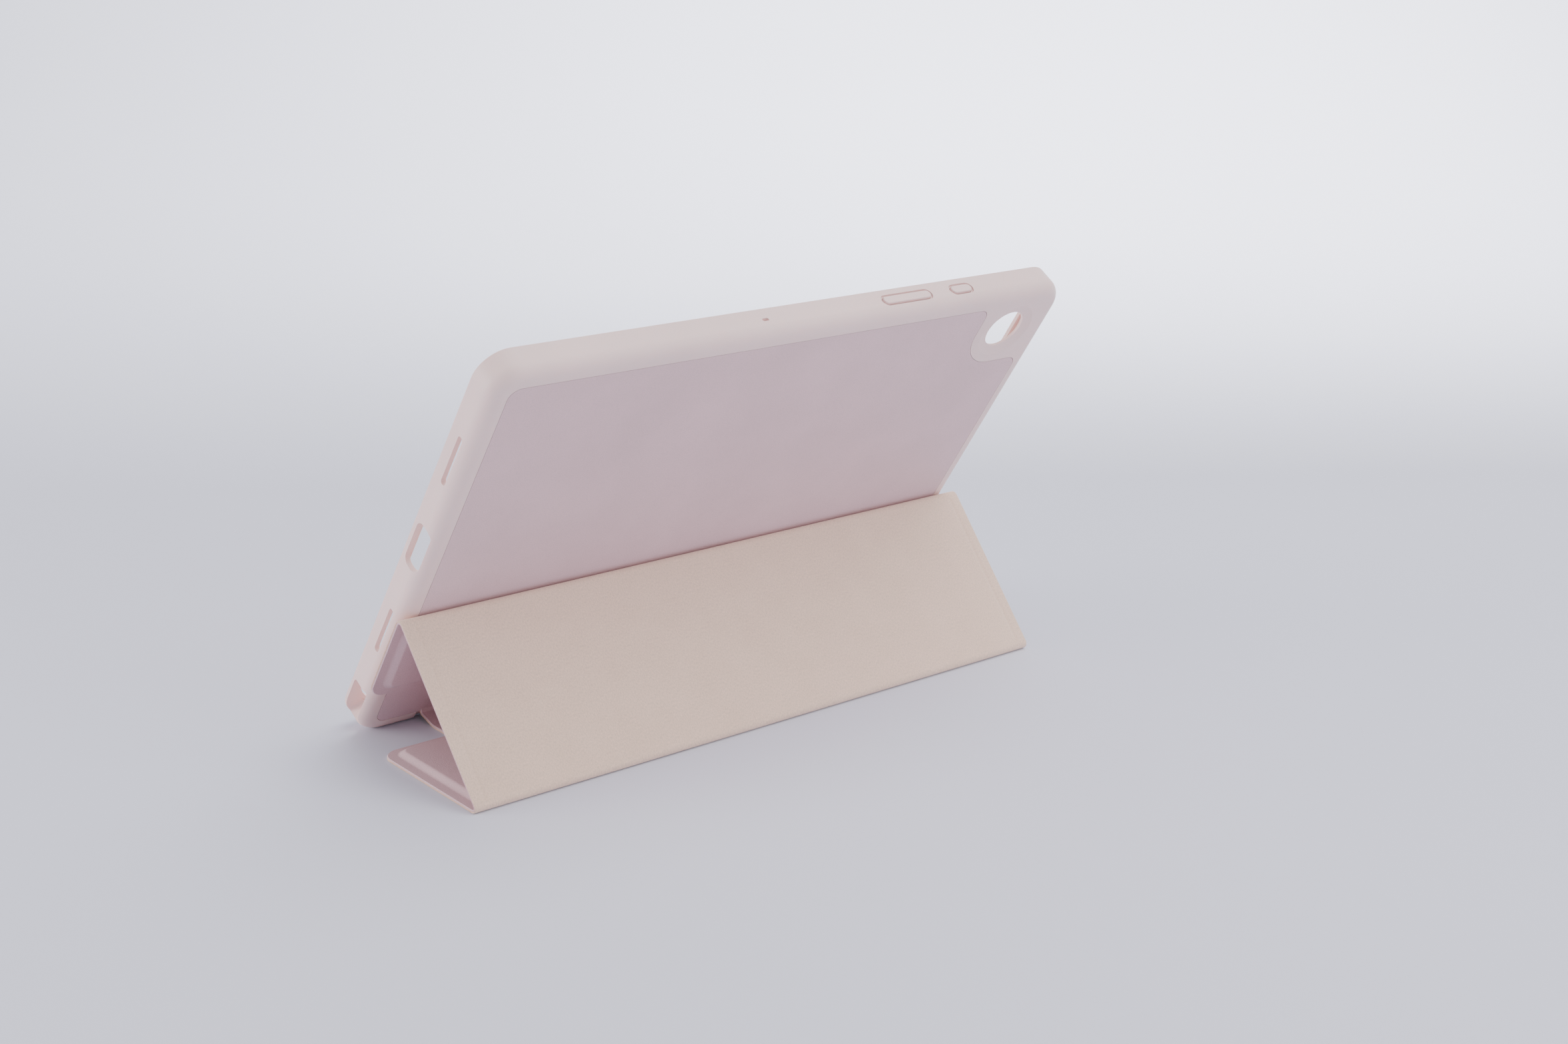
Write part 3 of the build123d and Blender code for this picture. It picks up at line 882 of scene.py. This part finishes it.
def make_sweep():
    """Floor and backdrop in one sheet: flat to the bend's start, a quarter circle of 1.6 m, then
    straight up, carried across the view; heights follow from the distance along the sheet."""
    away = Vector((-math.sin(VIEW["azimuth"]), math.cos(VIEW["azimuth"])))
    flat, bend, wall = 0.7, 1.6, 2.2
    s = np.linspace(-2.4, flat + bend * math.pi / 2 + wall, 160)
    turned = np.clip((s - flat) / bend, 0, math.pi / 2)
    out = np.where(s < flat, s, flat + bend * np.sin(turned))
    up = np.where(s < flat, 0.0, bend * (1 - np.cos(turned)) + np.maximum(s - flat - bend * math.pi / 2, 0))
    across = np.linspace(-4.5, 4.5, 24)
    u, v = np.meshgrid(across, np.arange(len(s)), indexing="ij")
    x = away.x * out[v] + away.y * u
    y = away.y * out[v] - away.x * u
    points = np.stack([x, y, up[v]], axis=-1).reshape(-1, 3)
    grid = np.arange(u.size).reshape(u.shape)
    faces = np.stack([grid[:-1, :-1], grid[1:, :-1], grid[1:, 1:], grid[:-1, 1:]], axis=-1).reshape(-1, 4)
    mesh = bpy.data.meshes.new("seamless_floor")
    mesh.from_pydata(points, [], faces)
    mesh.shade_smooth()
    mesh.materials.append(seamless_paper())
    sweep = bpy.data.objects.new("seamless_floor", mesh)
    bpy.context.scene.collection.objects.link(sweep)
    if sum(p.normal.z for p in mesh.polygons[:50]) < 0:
        mesh.flip_normals()


# Camera: degrees, millimetres; the view is round the point it looks at
VIEW = {
    "azimuth": math.radians(138.921),
    "elevation": math.radians(17.795),
    "roll": math.radians(1.881),
    "distance": 925.85 * MM,
    "target": Vector((-70.735, -40.401, 42.399)) * MM,
    "lens": 52.941,
}


def view_axes():
    """The camera's own axes: back towards it, right and up, before its roll."""
    a, e = VIEW["azimuth"], VIEW["elevation"]
    back = Vector((math.sin(a) * math.cos(e), -math.cos(a) * math.cos(e), math.sin(e)))
    right = (-back).cross(Vector((0, 0, 1))).normalized()
    return back, right, right.cross(-back)


def make_camera(scene):
    """A camera with no shift, rolled a little clockwise, that looks at the case from behind."""
    back, right, up = view_axes()
    c, s = math.cos(VIEW["roll"]), math.sin(VIEW["roll"])
    across, above = right * c + up * s, up * c - right * s
    place = VIEW["target"] + back * VIEW["distance"]
    camera = bpy.data.objects.new("view", bpy.data.cameras.new("view"))
    camera.data.lens = VIEW["lens"]
    camera.data.sensor_width = 36.0
    camera.data.clip_start, camera.data.clip_end = 0.01, 30.0
    turn = Matrix((across, above, back)).transposed().to_4x4()
    camera.matrix_world = Matrix.Translation(place) @ turn
    scene.collection.objects.link(camera)
    scene.camera = camera


def add_light(name, place, aim, size, energy, colour):
    """An area light of size (width, height) at place, facing aim."""
    light = bpy.data.lights.new(name, "AREA")
    light.shape = "RECTANGLE"
    light.size, light.size_y = size
    light.energy = energy
    light.color = linear(colour)
    lamp = bpy.data.objects.new(name, light)
    lamp.location = place
    lamp.rotation_euler = (Vector(aim) - Vector(place)).to_track_quat("-Z", "Y").to_euler()
    bpy.context.scene.collection.objects.link(lamp)


def make_lights():
    """A soft box above, a fill from each side, a glow on the backdrop, and pale air."""
    back, right, up = view_axes()
    flat_back = Vector((back.x, back.y, 0)).normalized()
    over = right * 0.6 - flat_back * 0.2 + Vector((0, 0, 1.5))
    from_right = right * 1.5 + flat_back * 0.7 + Vector((0, 0, 0.8))
    from_left = -right * 1.7 + flat_back * 0.5 + Vector((0, 0, 0.3))
    behind = right * 0.35 - flat_back * 0.8 + Vector((0, 0, 0.95))
    backdrop = right * 0.15 - flat_back * 2.0 + Vector((0, 0, 0.35))
    # name, place, aim, (width, height) in metres, watts, colour
    for light in (
        ("soft_box", over, (0, 0, 0.05), (1.5, 1.5), 24.0, "#FFFDFB"),
        ("right_fill", from_right, (0, 0, 0.08), (1.2, 1.2), 11.0, "#FBFBFF"),
        ("left_fill", from_left, (0, 0, 0.05), (1.2, 0.9), 31.0, "#FFF9F6"),
        ("backdrop_glow", behind, backdrop, (0.9, 0.9), 50.0, "#FFFFFF"),
    ):
        add_light(*light)
    world = bpy.data.worlds.new("pale air")
    world.use_nodes = True
    sky = world.node_tree.nodes["Background"]
    sky.inputs["Color"].default_value = (*linear("#EEEEF3"), 1)
    sky.inputs["Strength"].default_value = 0.8
    bpy.context.scene.world = world


class TABLETCASE_PT_maker(bpy.types.Panel):
    """Lists the steps that make the case"""

    bl_label = "Tablet Case"
    bl_idname = "TABLETCASE_PT_maker"
    bl_space_type = "VIEW_3D"
    bl_region_type = "UI"
    bl_category = "Tablet Case"

    def draw(self, context):
        column = self.layout.column()
        for step in STEPS:
            column.operator(step.bl_idname)
        for group in (sizes(), colours()):
            for name in group.bl_rna.properties.keys():
                if name not in {"rna_type", "name"}:
                    column.prop(group, name)


STEPS = (
    TABLETCASE_OT_tray,
    TABLETCASE_OT_keys,
    TABLETCASE_OT_stiffeners,
    TABLETCASE_OT_folds,
    TABLETCASE_OT_spine,
    TABLETCASE_OT_linings,
    TABLETCASE_OT_leathers,
    TABLETCASE_OT_stage,
)
CLASSES = (CoverSizes, CaseColours, *STEPS, TABLETCASE_PT_maker)


def register():
    for kind in CLASSES:
        bpy.utils.register_class(kind)
    bpy.types.Scene.tablet_case_sizes = bpy.props.PointerProperty(type=CoverSizes)
    bpy.types.Scene.tablet_case_colours = bpy.props.PointerProperty(type=CaseColours)


def unregister():
    del bpy.types.Scene.tablet_case_colours
    del bpy.types.Scene.tablet_case_sizes
    for kind in reversed(CLASSES):
        bpy.utils.unregister_class(kind)


def main():
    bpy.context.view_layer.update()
    register()
    for step in STEPS:
        group, call = step.bl_idname.split(".")
        if getattr(getattr(bpy.ops, group), call)() != {"FINISHED"}:
            raise RuntimeError(f"{step.bl_label} didn't finish")
    bpy.context.view_layer.update()


if __name__ == "__main__":
    main()
